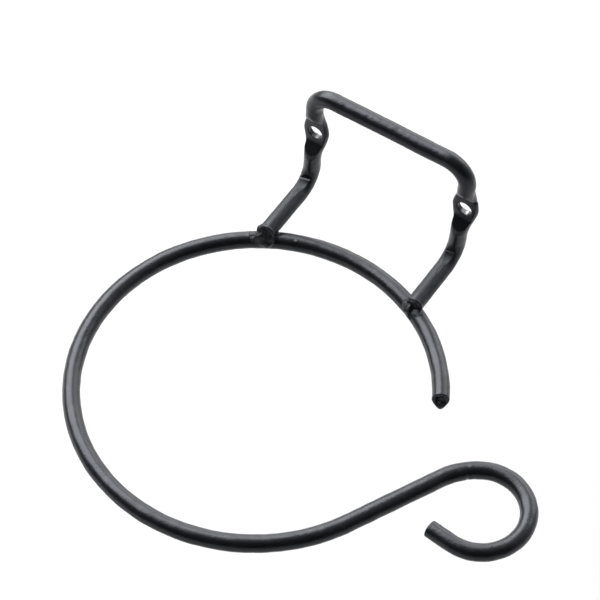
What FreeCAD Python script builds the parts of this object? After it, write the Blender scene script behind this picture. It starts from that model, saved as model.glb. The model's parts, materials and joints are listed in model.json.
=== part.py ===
"""Wall-mounted hair dryer holder, welded from two bent round bars.

Frame: millimetres, +Z up. The origin is midway between the two screw holes, on the wall plane.
The wall is the plane Y = 0, and the holder stands out from it towards -Y.
"""

import FreeCAD, Part
import math
import os

import Sketcher

doc = FreeCAD.newDocument("hair_dryer_holder")

# ---------------------------------------------------------------- driving dimensions

SIZES = [
    # alias, value (mm or degrees), what it is
    ("bar_diameter", 5.0, "round bar, both pieces"),
    ("ring_radius", 52.5, "centreline of the ring, so 100 mm clear inside"),
    ("ring_offset", 0.4, "ring centre, sideways from the middle of the screw holes"),
    ("ring_standoff", 71.5, "ring centre, out from the wall"),
    ("ring_drop", 25.2, "ring plane, below the screw holes"),
    ("free_end_angle", 28.3, "where the ring starts, from +X towards the wall"),
    ("run_angle", 27.0, "where the straight run leaves the ring, from +X away from the wall"),
    ("run_length", 29.2, "straight run between ring and curl"),
    ("lead_radius", 21.6, "first, wider bend of the curl"),
    ("lead_turn", 31.9, "its turn, degrees"),
    ("curl_radius", 13.4, "curl centreline"),
    ("curl_turn", 217.0, "its turn, degrees"),
    ("tail_length", 7.5, "straight tail of the curl"),
    ("tail_chamfer", 0.5, "rounded rim of the tail's end"),
    ("hole_spacing", 51.0, "between the screw holes"),
    ("left_lean", 1.6, "sideways lean of the left upright, degrees"),
    ("right_lean", 3.9, "sideways lean of the right upright, degrees"),
    ("crossbar_height", 19.3, "crossbar centreline, above the screw holes"),
    ("foot_rise", 4.1, "foot centreline, above the ring's centreline"),
    ("foot_overrun", 0.6, "feet end this far past the ring's centreline"),
    ("bend_radius", 7.0, "centreline radius of the mounting bar's bends"),
    ("eye_thickness", 1.8, "pressed eye"),
    ("eye_width", 8.6, "widest part of the eye"),
    ("eye_reach", 11.0, "eye's taper, each way from its hole"),
    ("eye_tip", 2.4, "width where the taper ends"),
    ("eye_hole", 4.6, "screw hole"),
    ("hole_chamfer", 0.25, "eased rim of the hole"),
    ("press_above", 4.8, "flat of the press mark above the hole"),
    ("press_below", 4.3, "flat of the press mark below the hole"),
    ("press_top", 9.2, "upper end of the press mark at the bar's front"),
    ("press_bottom", 8.1, "lower end of the press mark at the bar's front"),
    ("press_reach", 7.0, "press mark's sketch, out from the wall"),
    ("bead_length", 10.4, "weld bead, along the ring"),
    ("bead_width", 6.4, "weld bead, across the ring"),
    ("bead_height", 4.4, "weld bead, upright"),
    ("bead_rise", 2.5, "middle of the weld bead above the ring's centreline"),
]


def make_sheet():
    """The spreadsheet that every sub-part's sizes are bound to."""
    sheet = doc.addObject("Spreadsheet::Sheet", "sizes")
    for row, (alias, value, note) in enumerate(SIZES, start=1):
        sheet.set("A%d" % row, alias)
        sheet.set("B%d" % row, str(value))
        sheet.setAlias("B%d" % row, alias)
        sheet.set("C%d" % row, note)
    doc.recompute()
    return sheet


sheet = make_sheet()


def size(alias):
    """A driving dimension's value."""
    return float(getattr(sheet, alias))


def radians(alias):
    return math.radians(size(alias))


def vec(x, y, z=0.0):
    return FreeCAD.Vector(x, y, z)


# ---------------------------------------------------------------- drawing helpers

ROOT_POINT = (-1, 1)
HORIZONTAL_AXIS = -1
VERTICAL_AXIS = -2
START, END, CENTRE = 1, 2, 3
FRONT, UP, RIGHT = "XZ_Plane", "XY_Plane", "YZ_Plane"


def plane(body, role):
    """One of the body's own origin planes."""
    return next(item for item in body.Origin.OriginFeatures if item.Role == role)


def new_sketch(body, name, role, offset=None, turn=None):
    """A sketch on an origin plane. offset and turn are expressions in the plane's own axes."""
    sketch = body.newObject("Sketcher::SketchObject", name)
    sketch.AttachmentSupport = [(plane(body, role), "")]
    sketch.MapMode = "FlatFace"
    place(sketch, "AttachmentOffset", offset, turn)
    return sketch


def place(item, prop, offset=None, turn=None):
    """Binds a placement: offset is {axis: expression}, turn is (axis vector, expression)."""
    if turn is not None:
        setattr(item, prop, FreeCAD.Placement(vec(0, 0), FreeCAD.Rotation(turn[0], 1.0)))
        item.setExpression(prop + ".Rotation.Angle", turn[1])
    for axis, expression in (offset or {}).items():
        item.setExpression(prop + ".Base." + axis, expression)


def constrain(sketch, kind, *where):
    sketch.addConstraint(Sketcher.Constraint(kind, *where))


def dimension(sketch, kind, where, value, expression):
    """A dimension of the sketch, bound to the sheet."""
    index = sketch.addConstraint(Sketcher.Constraint(kind, *where, value))
    sketch.setExpression("Constraints[%d]" % index, expression)


def arc(centre, radius, start, end):
    """An arc that runs anticlockwise between two angles in radians."""
    circle = Part.Circle(centre, vec(0, 0, 1), radius)
    return Part.ArcOfCircle(circle, start, end)


def circle_sketch(body, name, role, offset, across, up):
    """The bar's round section. across and up are (value, expression) of its centre."""
    sketch = new_sketch(body, name, role, offset)
    radius = size("bar_diameter") / 2
    sketch.addGeometry(Part.Circle(vec(across[0], up[0]), vec(0, 0, 1), radius))
    dimension(sketch, "Diameter", (0,), 2 * radius, "sizes.bar_diameter")
    locate(sketch, 0, CENTRE, across, up)
    return sketch


def locate(sketch, item, point, across, up):
    """Dimensions a point from the sketch's origin. Zero is held by the axis itself."""
    for kind, axis, (value, expression) in (
        ("DistanceX", VERTICAL_AXIS, across),
        ("DistanceY", HORIZONTAL_AXIS, up),
    ):
        if expression is None:
            constrain(sketch, "PointOnObject", item, point, axis)
        else:
            dimension(sketch, kind, (*ROOT_POINT, item, point), value, expression)


def pipe(body, name, profile, path):
    """The profile swept along the path."""
    feature = body.newObject("PartDesign::AdditivePipe", name)
    feature.Profile = profile
    feature.Spine = (path, [])
    profile.Visibility = False
    return feature


# ---------------------------------------------------------------- ring bar


def curl_points():
    """Corners of the ring bar's path, in the ring's own axes with the free end on +X."""
    ring, lead, curl = size("ring_radius"), size("lead_radius"), size("curl_radius")
    leave = 2 * math.pi - radians("run_angle") - radians("free_end_angle")
    heading = leave + math.pi / 2
    start = vec(ring * math.cos(leave), ring * math.sin(leave))
    along = vec(math.cos(heading), math.sin(heading))
    inward = vec(math.sin(heading), -math.cos(heading))
    run_end = start + along * size("run_length")
    lead_centre = run_end + inward * lead
    lead_start = heading + math.pi / 2
    lead_end = lead_start - radians("lead_turn")
    outward = vec(math.cos(lead_end), math.sin(lead_end))
    curl_centre = lead_centre + outward * (lead - curl)
    curl_end = lead_end - radians("curl_turn")
    tail_start = curl_centre + vec(math.cos(curl_end), math.sin(curl_end)) * curl
    tail_way = vec(math.sin(curl_end), -math.cos(curl_end))
    tail_end = tail_start + tail_way * size("tail_length")
    return {
        "leave": leave, "start": start, "run_end": run_end,
        "lead_centre": lead_centre, "lead_start": lead_start, "lead_end": lead_end,
        "curl_centre": curl_centre, "curl_end": curl_end,
        "tail_start": tail_start, "tail_end": tail_end,
    }


def ring_path(body):
    """Ring, straight run, wide bend, curl and tail, each tangent to the next."""
    sketch = new_sketch(body, "ring_path", UP)
    at = curl_points()
    ring, lead, curl = size("ring_radius"), size("lead_radius"), size("curl_radius")
    sketch.addGeometry(arc(vec(0, 0), ring, 0, at["leave"]))
    sketch.addGeometry(Part.LineSegment(at["start"], at["run_end"]))
    sketch.addGeometry(arc(at["lead_centre"], lead, at["lead_end"], at["lead_start"]))
    sketch.addGeometry(arc(at["curl_centre"], curl, at["curl_end"], at["lead_end"]))
    sketch.addGeometry(Part.LineSegment(at["tail_start"], at["tail_end"]))
    constrain(sketch, "Coincident", 0, CENTRE, *ROOT_POINT)
    constrain(sketch, "PointOnObject", 0, START, HORIZONTAL_AXIS)
    constrain(sketch, "Tangent", 0, END, 1, START)
    constrain(sketch, "Tangent", 1, END, 2, END)
    constrain(sketch, "Tangent", 2, START, 3, END)
    constrain(sketch, "Tangent", 3, START, 4, START)
    dimension(sketch, "Radius", (0,), ring, "sizes.ring_radius")
    dimension(sketch, "Radius", (2,), lead, "sizes.lead_radius")
    dimension(sketch, "Radius", (3,), curl, "sizes.curl_radius")
    turn = "(360 - sizes.run_angle - sizes.free_end_angle) * 1 deg"
    dimension(sketch, "Angle", (0,), at["leave"], turn)
    dimension(sketch, "Angle", (2,), radians("lead_turn"), "sizes.lead_turn * 1 deg")
    dimension(sketch, "Angle", (3,), radians("curl_turn"), "sizes.curl_turn * 1 deg")
    dimension(sketch, "Distance", (1,), size("run_length"), "sizes.run_length")
    dimension(sketch, "Distance", (4,), size("tail_length"), "sizes.tail_length")
    return sketch


def make_ring_bar():
    """One bar: an open ring with a reverse curl at its outer end."""
    body = doc.addObject("PartDesign::Body", "ring_bar")
    body.Label = "ring_bar"
    path = ring_path(body)
    across = (size("ring_radius"), "sizes.ring_radius")
    profile = circle_sketch(body, "ring_section", FRONT, {}, across, (0.0, None))
    bar = pipe(body, "ring_sweep", profile, path)
    doc.recompute()
    rim = body.newObject("PartDesign::Chamfer", "tail_rim")
    rim.Base = (bar, [edge_nearest(bar.Shape, curl_points()["tail_end"])])
    rim.setExpression("Size", "sizes.tail_chamfer")
    offset = {"x": "sizes.ring_offset", "y": "-sizes.ring_standoff", "z": "-sizes.ring_drop"}
    place(body, "Placement", offset, (vec(0, 0, 1), "sizes.free_end_angle"))
    return body


def edge_nearest(shape, point, radius=None):
    """The name of the circular edge whose centre is nearest to a point."""
    best = None
    for index, edge in enumerate(shape.Edges, start=1):
        if not isinstance(edge.Curve, Part.Circle):
            continue
        if not edge.isClosed():
            continue
        if radius is not None and abs(edge.Curve.Radius - radius) > 1e-6:
            continue
        gap = edge.Curve.Center.distanceToPoint(point)
        if best is None or gap < best[0]:
            best = (gap, "Edge%d" % index)
    return best[1]


# ---------------------------------------------------------------- mounting bar

SIDES = {
    "left": {"sign": -1, "lean": "left_lean"},
    "right": {"sign": 1, "lean": "right_lean"},
}


def hole_x(side):
    """The screw hole's sideways place, as (value, expression)."""
    sign = SIDES[side]["sign"]
    return sign * size("hole_spacing") / 2, "%d * sizes.hole_spacing / 2" % sign


def foot_x(side):
    """The foot's sideways place, under the leaning upright."""
    value, expression = hole_x(side)
    lean = SIDES[side]["lean"]
    drop = size("ring_drop") - size("foot_rise")
    value -= drop * math.tan(radians(lean))
    expression += " - (sizes.ring_drop - sizes.foot_rise) * tan(sizes.%s)" % lean
    return value, expression


def foot_end(side):
    """How far out from the wall the foot ends: just past the ring's centreline."""
    x, x_expression = foot_x(side)
    reach = math.sqrt(size("ring_radius") ** 2 - (x - size("ring_offset")) ** 2)
    value = size("ring_standoff") - reach + size("foot_overrun")
    expression = (
        "sizes.ring_standoff + sizes.foot_overrun"
        " - sqrt(sizes.ring_radius^2 - (%s - sizes.ring_offset)^2)" % x_expression
    )
    return value, expression


def upright_path(body, side):
    """Half the crossbar, the corner and the upright down to the foot's bend."""
    sketch = new_sketch(body, side + "_upright_path", FRONT, {"z": "sizes.bar_diameter / 2"})
    sign, lean = SIDES[side]["sign"], SIDES[side]["lean"]
    x, x_expression = hole_x(side)
    slope = math.tan(radians(lean))
    top, bend = size("crossbar_height"), size("bend_radius")
    low = size("foot_rise") - size("ring_drop")
    bend_top = low + bend * math.cos(radians(lean))
    corner = vec(x + slope * top, top)
    foot = vec(x + slope * bend_top, bend_top)
    up = vec(math.sin(radians(lean)), math.cos(radians(lean)))
    inner = math.pi / 2 - sign * radians(lean)
    cut = bend / math.tan(inner / 2)
    bar_end = corner - vec(sign * cut, 0)
    leg_top = corner - up * cut
    centre = bar_end - vec(0, bend)
    leg_angle = math.atan2(leg_top.y - centre.y, leg_top.x - centre.x)
    angles = (leg_angle, math.pi / 2) if sign > 0 else (math.pi / 2, leg_angle)
    bar_point, leg_point = (END, START) if sign > 0 else (START, END)
    sketch.addGeometry(Part.LineSegment(vec(0, top), bar_end))
    sketch.addGeometry(arc(centre, bend, *angles))
    sketch.addGeometry(Part.LineSegment(leg_top, foot))
    sketch.addGeometry(Part.Point(vec(x, 0)), True)
    locate(sketch, 0, START, (0.0, None), (top, "sizes.crossbar_height"))
    constrain(sketch, "Horizontal", 0)
    constrain(sketch, "Tangent", 0, END, 1, bar_point)
    constrain(sketch, "Tangent", 1, leg_point, 2, START)
    dimension(sketch, "Radius", (1,), bend, "sizes.bend_radius")
    locate(sketch, 3, START, (x, x_expression), (0.0, None))
    constrain(sketch, "PointOnObject", 3, START, 2)
    turn = "(90 + %d * sizes.%s) * 1 deg" % (sign, lean)
    dimension(sketch, "Angle", (1,), math.pi - inner, turn)
    low_expression = (
        "sizes.foot_rise - sizes.ring_drop + sizes.bend_radius * cos(sizes.%s)" % lean
    )
    dimension(sketch, "DistanceY", (*ROOT_POINT, 2, END), bend_top, low_expression)
    return sketch


def side_sketch(body, name, side):
    """A sketch on the plane of one upright and its foot: across is Y, up is the upright."""
    turn = (vec(1, 0, 0), "sizes.%s" % SIDES[side]["lean"])
    return new_sketch(body, name, RIGHT, {"z": hole_x(side)[1]}, turn)


def foot_path(body, side):
    """The foot, from its end over the ring back to the wall and up into the upright."""
    sketch = side_sketch(body, side + "_foot_path", side)
    lean = SIDES[side]["lean"]
    out, out_expression = foot_end(side)
    bend, back = size("bend_radius"), -size("bar_diameter") / 2
    low = (size("foot_rise") - size("ring_drop")) / math.cos(radians(lean))
    low_expression = "(sizes.foot_rise - sizes.ring_drop) / cos(sizes.%s)" % lean
    centre = vec(back - bend, low + bend)
    sketch.addGeometry(Part.LineSegment(vec(-out, low), vec(back - bend, low)))
    sketch.addGeometry(arc(centre, bend, -math.pi / 2, 0))
    locate(sketch, 0, START, (-out, "-(%s)" % out_expression), (low, low_expression))
    constrain(sketch, "Horizontal", 0)
    constrain(sketch, "Tangent", 0, END, 1, START)
    dimension(sketch, "Radius", (1,), bend, "sizes.bend_radius")
    dimension(sketch, "Angle", (1,), math.pi / 2, "90 deg")
    dimension(sketch, "DistanceX", (*ROOT_POINT, 1, END), back, "-sizes.bar_diameter / 2")
    return sketch


def add_side(body, side):
    """One half of the mounting bar: half crossbar, upright and foot."""
    back = (-size("bar_diameter") / 2, "-sizes.bar_diameter / 2")
    top = (size("crossbar_height"), "sizes.crossbar_height")
    profile = circle_sketch(body, side + "_crossbar_section", RIGHT, {}, back, top)
    pipe(body, side + "_upright", profile, upright_path(body, side))
    low = size("foot_rise") - size("ring_drop")
    height = (low, "sizes.foot_rise - sizes.ring_drop")
    out = {"z": foot_end(side)[1]}
    profile = circle_sketch(body, side + "_foot_section", FRONT, out, foot_x(side), height)
    pipe(body, side + "_foot", profile, foot_path(body, side))


def eye_outline(body, side):
    """The eye seen from the front: two arcs round the hole and a taper each way."""
    turn = (vec(0, 0, 1), "-sizes.%s" % SIDES[side]["lean"])
    offset = {"x": hole_x(side)[1]}
    sketch = new_sketch(body, side + "_eye_outline", FRONT, offset, turn)
    radius, reach, tip = size("eye_width") / 2, size("eye_reach"), size("eye_tip") / 2
    far = math.hypot(tip, reach)
    touch = math.atan2(reach, tip) - math.acos(radius / far)
    start = vec(radius * math.cos(touch), radius * math.sin(touch))
    right = [vec(tip, reach), start, vec(start.x, -start.y), vec(tip, -reach)]
    left = [vec(-point.x, point.y) for point in right]
    sketch.addGeometry(Part.LineSegment(right[0], right[1]))
    sketch.addGeometry(arc(vec(0, 0), radius, -touch, touch))
    sketch.addGeometry(Part.LineSegment(right[2], right[3]))
    sketch.addGeometry(Part.LineSegment(right[3], left[3]))
    sketch.addGeometry(Part.LineSegment(left[3], left[2]))
    sketch.addGeometry(arc(vec(0, 0), radius, math.pi - touch, math.pi + touch))
    sketch.addGeometry(Part.LineSegment(left[1], left[0]))
    sketch.addGeometry(Part.LineSegment(left[0], right[0]))
    constrain(sketch, "Coincident", 1, CENTRE, *ROOT_POINT)
    constrain(sketch, "Coincident", 5, CENTRE, *ROOT_POINT)
    for first, first_point, second, second_point in (
        (0, END, 1, END), (1, START, 2, START), (4, END, 5, END), (5, START, 6, START),
    ):
        constrain(sketch, "Tangent", first, first_point, second, second_point)
    for first, second in ((2, 3), (3, 4), (6, 7), (7, 0)):
        constrain(sketch, "Coincident", first, END, second, START)
    dimension(sketch, "Radius", (1,), radius, "sizes.eye_width / 2")
    dimension(sketch, "Radius", (5,), radius, "sizes.eye_width / 2")
    for item, across, up in ((0, 1, 1), (3, 1, -1), (7, -1, 1), (4, -1, -1)):
        across_at = (across * tip, "%d * sizes.eye_tip / 2" % across)
        up_at = (up * reach, "%d * sizes.eye_reach" % up)
        locate(sketch, item, START, across_at, up_at)
    return sketch


def press_outline(body, side):
    """The press mark seen from the side: it opens from the eye's flat out to the front."""
    sketch = side_sketch(body, side + "_press_outline", side)
    flat, front = -size("eye_thickness"), -size("press_reach")
    depth = size("bar_diameter") - size("eye_thickness")
    spread = (size("press_reach") - size("eye_thickness")) / depth
    above, below = size("press_above"), size("press_below")
    wide = above + (size("press_top") - above) * spread
    deep = below + (size("press_bottom") - below) * spread
    corners = [vec(flat, above), vec(front, wide), vec(front, -deep), vec(flat, -below)]
    reach = "(sizes.press_reach - sizes.eye_thickness)"
    reach += " / (sizes.bar_diameter - sizes.eye_thickness)"
    upper = "sizes.press_above + (sizes.press_top - sizes.press_above) * " + reach
    lower = "sizes.press_below + (sizes.press_bottom - sizes.press_below) * " + reach
    across = ["-sizes.eye_thickness", "-sizes.press_reach"]
    across += across[::-1]
    up = ["sizes.press_above", upper, "-(%s)" % lower, "-sizes.press_below"]
    for index, corner in enumerate(corners):
        sketch.addGeometry(Part.LineSegment(corner, corners[(index + 1) % 4]))
    for index, corner in enumerate(corners):
        constrain(sketch, "Coincident", index, END, (index + 1) % 4, START)
        locate(sketch, index, START, (corner.x, across[index]), (corner.y, up[index]))
    return sketch


def add_eye(body, side):
    """The upright pressed flat against the wall plane, with its screw hole."""
    plate = body.newObject("PartDesign::Pad", side + "_eye")
    plate.Profile = eye_outline(body, side)
    plate.setExpression("Length", "sizes.eye_thickness")
    mark = body.newObject("PartDesign::Pocket", side + "_press_mark")
    mark.Profile = press_outline(body, side)
    mark.Type = 0
    mark.setExpression("Length", "4 * sizes.eye_width")
    mark.Midplane = True
    x, x_expression = hole_x(side)
    outline = new_sketch(body, side + "_hole_outline", FRONT)
    radius = size("eye_hole") / 2
    outline.addGeometry(Part.Circle(vec(x, 0), vec(0, 0, 1), radius))
    dimension(outline, "Diameter", (0,), 2 * radius, "sizes.eye_hole")
    locate(outline, 0, CENTRE, (x, x_expression), (0.0, None))
    hole = body.newObject("PartDesign::Pocket", side + "_hole")
    hole.Profile = outline
    hole.Type = 1
    hole.Midplane = True


def ease_holes(body, base):
    """Eases both rims of both screw holes."""
    rims = []
    for side in SIDES:
        for depth in (0, -size("eye_thickness")):
            rim = vec(hole_x(side)[0], depth, 0)
            rims.append(edge_nearest(base.Shape, rim, size("eye_hole") / 2))
    feature = body.newObject("PartDesign::Chamfer", "hole_rims")
    feature.Base = (base, rims)
    feature.setExpression("Size", "sizes.hole_chamfer")


def make_mounting_bar():
    """One bar: crossbar, two uprights with pressed eyes and two feet coped on to the ring."""
    body = doc.addObject("PartDesign::Body", "mounting_bar")
    body.Label = "mounting_bar"
    for side in SIDES:
        add_side(body, side)
    cope = body.newObject("PartDesign::SubtractiveTorus", "cope")
    cope.AttachmentSupport = [(plane(body, UP), "")]
    cope.MapMode = "FlatFace"
    offset = {"x": "sizes.ring_offset", "y": "-sizes.ring_standoff", "z": "-sizes.ring_drop"}
    place(cope, "AttachmentOffset", offset)
    cope.setExpression("Radius1", "sizes.ring_radius")
    cope.setExpression("Radius2", "sizes.bar_diameter / 2")
    for side in SIDES:
        add_eye(body, side)
    doc.recompute()
    ease_holes(body, body.Tip)
    return body


# ---------------------------------------------------------------- weld beads


def make_weld(side, bars):
    """A bead that fills the corner between a foot and the ring, clear of both bars."""
    blob = doc.addObject("Part::Ellipsoid", side + "_bead_blob")
    blob.setExpression("Radius1", "sizes.bead_height / 2")
    blob.setExpression("Radius2", "sizes.bead_length / 2")
    blob.setExpression("Radius3", "sizes.bead_width / 2")
    for prop, degrees in (("Angle1", -90), ("Angle2", 90), ("Angle3", 360)):
        setattr(blob, prop, degrees)
    x, x_expression = foot_x(side)
    side_step = "(%s - sizes.ring_offset) / sizes.ring_radius" % x_expression
    tangent = "-asin(%s)" % side_step
    out_expression = "-(%s) + sizes.foot_overrun" % foot_end(side)[1]
    height = "sizes.bead_rise - sizes.ring_drop"
    offset = {"x": x_expression, "y": out_expression, "z": height}
    place(blob, "Placement", offset, (vec(0, 0, 1), tangent))
    weld = doc.addObject("Part::Cut", "weld_" + side)
    weld.Label = "weld_" + side
    weld.Base = blob
    weld.Tool = bars
    return weld


# ---------------------------------------------------------------- build, check and write


def check(parts):
    """Stops on a failed object, a null or invalid shape, or a loose sketch."""
    for item in doc.Objects:
        if "Invalid" in item.State or "Error" in item.State:
            raise RuntimeError("%s failed: %s" % (item.Name, item.State))
        if item.TypeId == "Sketcher::SketchObject" and not item.FullyConstrained:
            raise RuntimeError("%s is not fully constrained" % item.Name)
    for item in parts:
        if item.Shape.isNull() or not item.Shape.isValid():
            raise RuntimeError("%s has no valid shape" % item.Label)


def write(parts):
    os.makedirs("parts", exist_ok=True)
    for item in parts:
        item.Shape.exportStep("parts/%s.step" % item.Label)
        box = item.Shape.BoundBox
        print(
            "%-14s %9.2f mm3  solids %d  x %.2f..%.2f  y %.2f..%.2f  z %.2f..%.2f"
            % (item.Label, item.Shape.Volume, len(item.Shape.Solids), box.XMin, box.XMax,
               box.YMin, box.YMax, box.ZMin, box.ZMax)
        )


def main():
    ring_bar = make_ring_bar()
    mounting_bar = make_mounting_bar()
    bars = doc.addObject("Part::MultiFuse", "both_bars")
    bars.Shapes = [ring_bar, mounting_bar]
    parts = [ring_bar, mounting_bar]
    for side in SIDES:
        parts.append(make_weld(side, bars))
    doc.recompute()
    check(parts)
    write(parts)


main()
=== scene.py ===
"""Looks of the wall-mounted hair dryer holder: two painted round bars and the welds that join them.

Shapes are worked out in millimetres in the CAD's frame and written to the meshes in metres.
The wall is the plane Y = 0, +Z is up, and the holder stands out towards -Y.
"""

import json
import math

import bmesh
import bpy
import numpy as np
from mathutils import Matrix, Vector


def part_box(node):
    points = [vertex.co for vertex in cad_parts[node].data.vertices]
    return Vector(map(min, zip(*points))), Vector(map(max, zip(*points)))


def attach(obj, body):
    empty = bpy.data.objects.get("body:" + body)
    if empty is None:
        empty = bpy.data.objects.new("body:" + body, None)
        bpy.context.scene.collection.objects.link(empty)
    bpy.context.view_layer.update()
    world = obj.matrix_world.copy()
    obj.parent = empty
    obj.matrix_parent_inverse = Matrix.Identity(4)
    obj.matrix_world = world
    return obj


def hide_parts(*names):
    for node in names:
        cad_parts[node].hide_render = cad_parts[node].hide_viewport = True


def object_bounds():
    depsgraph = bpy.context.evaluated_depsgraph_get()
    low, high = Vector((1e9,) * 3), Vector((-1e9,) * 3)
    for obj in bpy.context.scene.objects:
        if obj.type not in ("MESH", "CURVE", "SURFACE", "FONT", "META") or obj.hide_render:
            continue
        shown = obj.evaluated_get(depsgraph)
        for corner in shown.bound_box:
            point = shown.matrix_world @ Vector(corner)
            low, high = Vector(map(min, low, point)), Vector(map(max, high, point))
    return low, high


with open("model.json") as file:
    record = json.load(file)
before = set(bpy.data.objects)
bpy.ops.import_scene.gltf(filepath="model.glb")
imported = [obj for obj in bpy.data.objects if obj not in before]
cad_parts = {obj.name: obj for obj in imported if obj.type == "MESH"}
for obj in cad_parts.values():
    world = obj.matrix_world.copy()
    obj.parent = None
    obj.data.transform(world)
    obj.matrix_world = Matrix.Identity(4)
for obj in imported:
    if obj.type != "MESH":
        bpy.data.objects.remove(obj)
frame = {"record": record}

CAD_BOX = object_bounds()
MM = 0.001

# ---------------------------------------------------------------- sizes read from the frame


def box_mm(node):
    """A node's corners in millimetres, to a twentieth, because its mesh is faceted."""
    return [np.round(np.array(corner) / MM * 20) / 20 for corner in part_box(node)]


RING_LOW, RING_HIGH = box_mm("ring_bar")
BRACKET_LOW, BRACKET_HIGH = box_mm("mounting_bar")
SCREWS = frame["record"]["mounts"][0]["dims"]

BAR = (RING_HIGH[2] - RING_LOW[2]) / 2
RING = (RING_HIGH[1] - RING_LOW[1]) / 2 - BAR
RING_CENTRE = np.array([
    RING_LOW[0] + RING + BAR,
    (RING_LOW[1] + RING_HIGH[1]) / 2,
    (RING_LOW[2] + RING_HIGH[2]) / 2,
])
HOLE_HALF_GAP = SCREWS["spacing_x_mm"] / 2
HOLE = SCREWS["hole_r_mm"]
CROSSBAR_Z = BRACKET_HIGH[2] - BAR
FOOT_Z = BRACKET_LOW[2] + BAR

# ---------------------------------------------------------------- the bars' other sizes, as the CAD has them

FREE_END_ANGLE = math.radians(28.3)
RUN_ANGLE = math.radians(27.0)
RUN_LENGTH = 29.2
LEAD_RADIUS, LEAD_TURN = 21.6, math.radians(31.9)
CURL_RADIUS, CURL_TURN = 13.4, math.radians(217.0)
TAIL_LENGTH = 7.5
LEAN = {"left": math.radians(1.6), "right": math.radians(3.9)}
SIGN = {"left": -1, "right": 1}
BEND_RADIUS = 7.0
FOOT_OVERRUN = 0.6
EYE_THICKNESS = 1.8

# The paint stands this far off the CAD's bars.
FILM = 0.08

X, Y, Z = np.eye(3)


def unit(vectors):
    return vectors / np.linalg.norm(vectors, axis=-1, keepdims=True)


# ---------------------------------------------------------------- smooth shapes by distance


def smooth_min(a, b, blend):
    """The nearer of two distances, with a rounded valley where they are alike."""
    h = np.clip(0.5 + 0.5 * (b - a) / blend, 0, 1)
    return b + (a - b) * h - blend * h * (1 - h)


def smooth_max(a, b, blend):
    return -smooth_min(-a, -b, blend)


def smooth_step(low, high, values):
    t = np.clip((values - low) / (high - low), 0, 1)
    return t * t * (3 - 2 * t)


def lumps(points, size, seed, waves=20):
    """A smooth random field of about unit height, made of plane waves of about one length."""
    random = np.random.default_rng(seed)
    directions = unit(random.normal(size=(waves, 3)))
    lengths = size * random.uniform(0.7, 1.5, waves)
    phases = random.uniform(0, 2 * math.pi, waves)
    turns = points @ (directions * (2 * math.pi / lengths)[:, None]).T + phases
    return np.sin(turns).sum(-1) * math.sqrt(2 / waves)


def ring_distance(points):
    """Distance from the ring's bar, whose free end and run aren't near any use of it."""
    flat = points - RING_CENTRE
    across = np.hypot(flat[..., 0], flat[..., 1]) - RING
    return np.hypot(across, flat[..., 2]) - BAR


# ---------------------------------------------------------------- paths


def turned(vectors, axis, angles):
    """Vectors turned about a unit axis."""
    angles = np.asarray(angles)[:, None]
    along = axis * (vectors @ axis)
    return along + (vectors - along) * np.cos(angles) + np.cross(axis, vectors) * np.sin(angles)


def walk(start, heading, side, moves, stations):
    """Places and axes at each station of a path made of runs and bends.

    A run is (length,). A bend is (radius, axis, angle), anticlockwise about its axis.
    The axes turn with the path, so they never twist about it.
    """
    places, headings, sides = (np.zeros((len(stations), 3)) for _ in range(3))
    done = 0.0
    for move in moves:
        bend = len(move) > 1
        length = move[0] * move[2] if bend else move[0]
        last = move is moves[-1]
        here = (stations >= done - 1e-9) & ((stations <= done + length + 1e-6) if last
                                            else (stations < done + length - 1e-9))
        along = np.append(stations[here] - done, length)
        if bend:
            radius, axis, _ = move
            centre = start + radius * np.cross(axis, heading)
            angles = along / radius
            spots = centre + turned(start - centre, axis, angles)
            ways, others = turned(heading, axis, angles), turned(side, axis, angles)
        else:
            spots = start + along[:, None] * heading
            ways, others = np.tile(heading, (len(along), 1)), np.tile(side, (len(along), 1))
        places[here], headings[here], sides[here] = spots[:-1], ways[:-1], others[:-1]
        start, heading, side = spots[-1], ways[-1], others[-1]
        done += length
    return places, headings, sides


def path_length(moves):
    return sum(move[0] * move[2] if len(move) > 1 else move[0] for move in moves)


def spaced(length, coarse, zones):
    """Stations along a path, closer together in the zones, which are (from, to, spacing)."""
    edges = sorted({0.0, length, *(min(max(v, 0), length) for zone in zones for v in zone[:2])})
    found = [np.array([0.0])]
    for low, high in zip(edges, edges[1:]):
        middle = (low + high) / 2
        steps = [zone[2] for zone in zones if zone[0] <= middle <= zone[1]]
        count = max(1, round((high - low) / min(steps + [coarse])))
        found.append(np.linspace(low, high, count + 1)[1:])
    return np.concatenate(found)


def ring_moves():
    """From the free end round the ring, out along the run and round the curl."""
    sweep = 2 * math.pi - RUN_ANGLE - FREE_END_ANGLE
    return [
        (RING, Z, sweep), (RUN_LENGTH,), (LEAD_RADIUS, -Z, LEAD_TURN),
        (CURL_RADIUS, -Z, CURL_TURN), (TAIL_LENGTH,),
    ]


def hole_centre(side):
    return X * SIGN[side] * HOLE_HALF_GAP


def upright_way(side):
    return X * math.sin(LEAN[side]) + Z * math.cos(LEAN[side])


def on_upright(side, z):
    """The point of the upright's axis at a height."""
    return hole_centre(side) - Y * BAR + upright_way(side) * z / math.cos(LEAN[side])


def foot_end(side):
    """The middle of the foot's end face, just past the ring's centreline."""
    corner = on_upright(side, FOOT_Z)
    reach = math.sqrt(RING ** 2 - (corner[0] - RING_CENTRE[0]) ** 2)
    return np.array([corner[0], RING_CENTRE[1] + reach - FOOT_OVERRUN, FOOT_Z])


def bracket_corners():
    """Corners of the mounting bar's path, before they are rounded."""
    return [
        foot_end("left"), on_upright("left", FOOT_Z), on_upright("left", CROSSBAR_Z),
        on_upright("right", CROSSBAR_Z), on_upright("right", FOOT_Z), foot_end("right"),
    ]


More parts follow.
